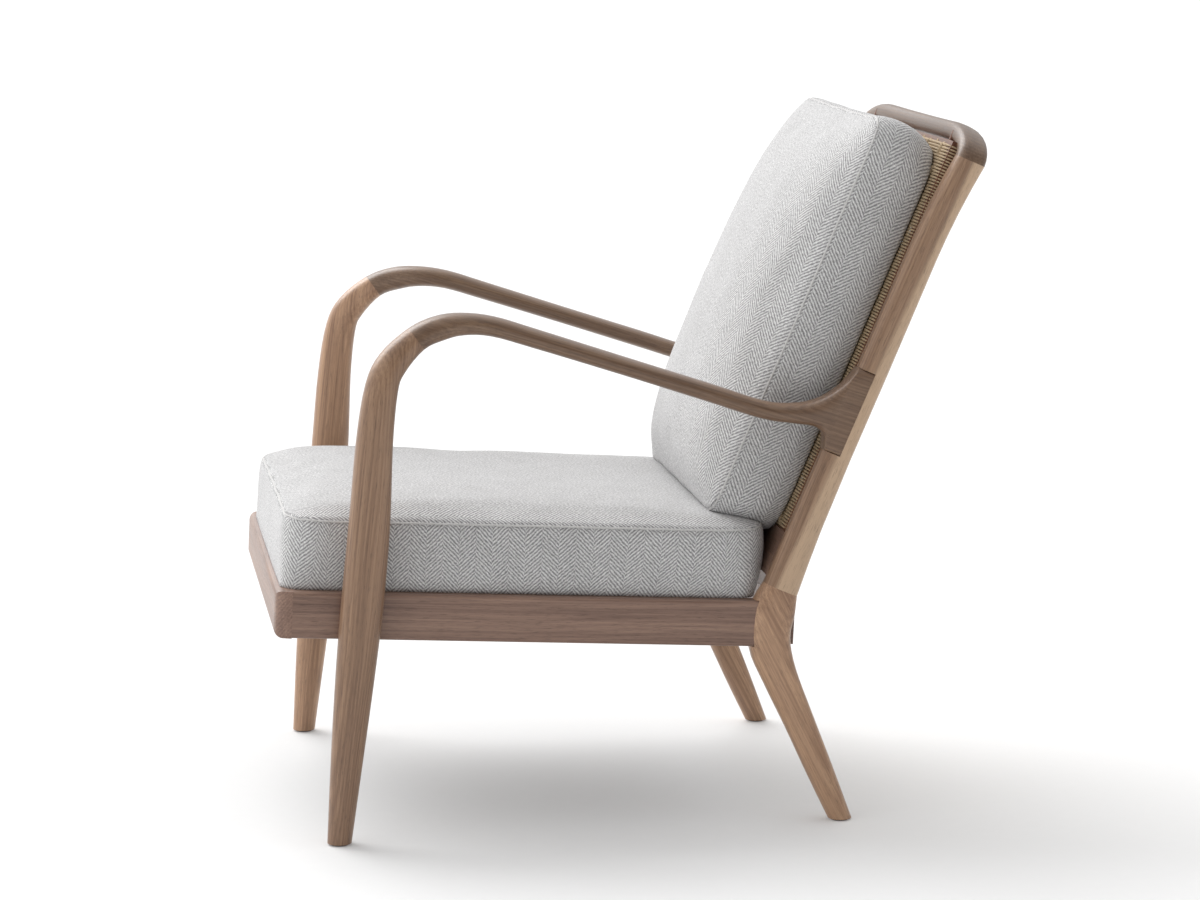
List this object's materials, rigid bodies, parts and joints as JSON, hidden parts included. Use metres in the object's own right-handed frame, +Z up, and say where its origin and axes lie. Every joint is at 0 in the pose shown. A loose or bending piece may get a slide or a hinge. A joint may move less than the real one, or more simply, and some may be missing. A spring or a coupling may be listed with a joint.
{
  "type": "lounge armchair",
  "caption": "Lounge armchair with a solid wood frame, curved arms, a wound cord back and loose seat and back cushions.",
  "frame": {"origin": "on the floor, below the middle of the overall box", "axes": "+X to the sitter's left, -Y the way the chair faces, +Z up"},
  "size_m": [0.618, 0.838, 0.8147],
  "materials": {
    "walnut": "satin oil",
    "rail_wood": "satin oil",
    "beech": "plain",
    "cord": "twisted paper cord",
    "herringbone_wool": "herringbone weave",
    "foam": "open foam",
    "webbing": "elastic webbing",
    "steel": "zinc plated",
    "glide": "matte"
  },
  "bodies": {
    "frame": {"left_front_leg": "walnut", "right_front_leg": "walnut", "left_arm": "walnut", "right_arm": "walnut", "left_back_post": "walnut", "right_back_post": "walnut", "left_rear_leg": "walnut", "right_rear_leg": "walnut", "crest_rail": "walnut", "lower_back_rail": "rail_wood", "front_rail": "rail_wood", "left_side_rail": "rail_wood", "right_side_rail": "rail_wood", "rear_rail": "rail_wood", "left_seat_ledge": "beech", "right_seat_ledge": "beech", "webbing_straps": "webbing", "corner_blocks": "beech", "corner_block_screws": "steel", "panel_left_bar": "rail_wood", "panel_right_bar": "rail_wood", "panel_top_bar": "rail_wood", "panel_bottom_bar": "rail_wood", "cord_web": "cord", "panel_dowels": "beech", "arm_splice_dowels": "beech", "arm_block_dowels": "beech", "post_dowels": "beech", "crest_dowels": "beech", "side_rail_dowels": "beech", "front_rail_dowels": "beech", "rear_rail_dowels": "beech", "lower_back_rail_dowels": "beech", "leg_bolts": "steel", "leg_inserts": "steel", "foot_glides": "glide"},
    "seat_cushion": {"seat_cushion_cover": "herringbone_wool", "seat_cushion_foam": "foam"},
    "back_cushion": {"back_cushion_cover": "herringbone_wool", "back_cushion_filling": "foam"}
  },
  "joints": [
    {"name": "seat_cushion_slide", "type": "slide", "parent": "frame", "child": "seat_cushion", "axis": [0, -0.9988, 0.0488], "range_m": [0, 0.58]},
    {"name": "back_cushion_slide", "type": "slide", "parent": "frame", "child": "back_cushion", "axis": [0, 0.3972, 0.9178], "range_m": [0, 0.54]}
  ]
}
